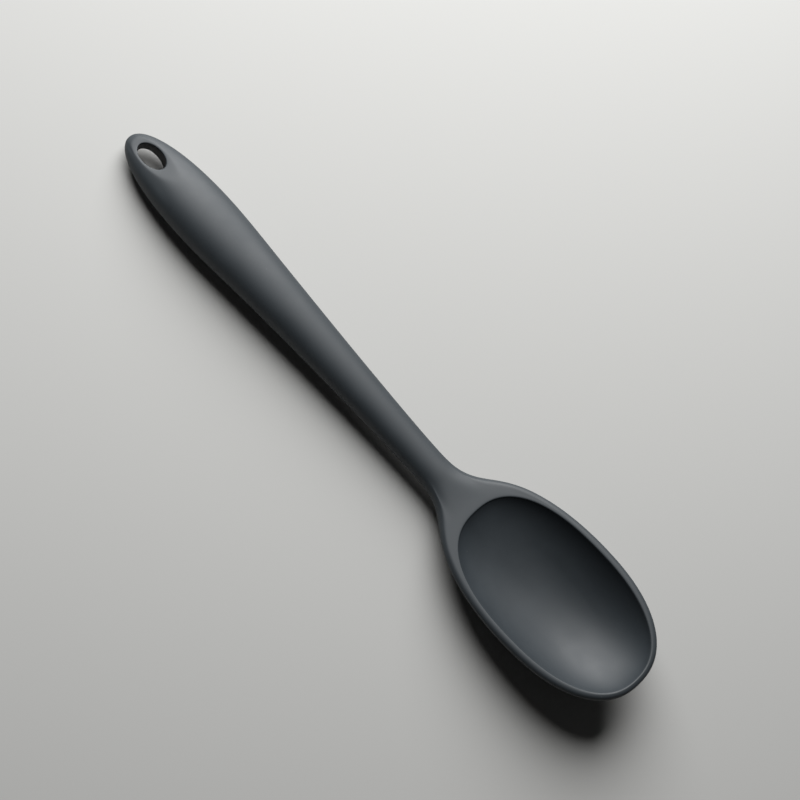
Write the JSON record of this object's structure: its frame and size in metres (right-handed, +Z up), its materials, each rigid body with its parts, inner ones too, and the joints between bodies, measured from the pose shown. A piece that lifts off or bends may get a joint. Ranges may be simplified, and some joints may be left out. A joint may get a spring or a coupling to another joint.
{
  "type": "silicone spoon",
  "caption": "Seamless silicone cooking spoon with an oval bowl, a flat rim, a round tapering handle and an oval hang hole, moulded over a stiff inner core.",
  "frame": {"origin": "centre of the spoon's bounding box, on the surface that it lies on", "axes": "+X along the spoon towards the tip of the bowl, +Z up out of the bowl's mouth, Y across"},
  "size_m": [0.28, 0.0544, 0.0241],
  "materials": {
    "silicone": "matt blue-grey silicone with a soft sheen",
    "nylon": "black glass-filled nylon, unpolished"
  },
  "bodies": {
    "root": {"silicone_skin": "silicone", "nylon_core": "nylon"}
  },
  "joints": []
}
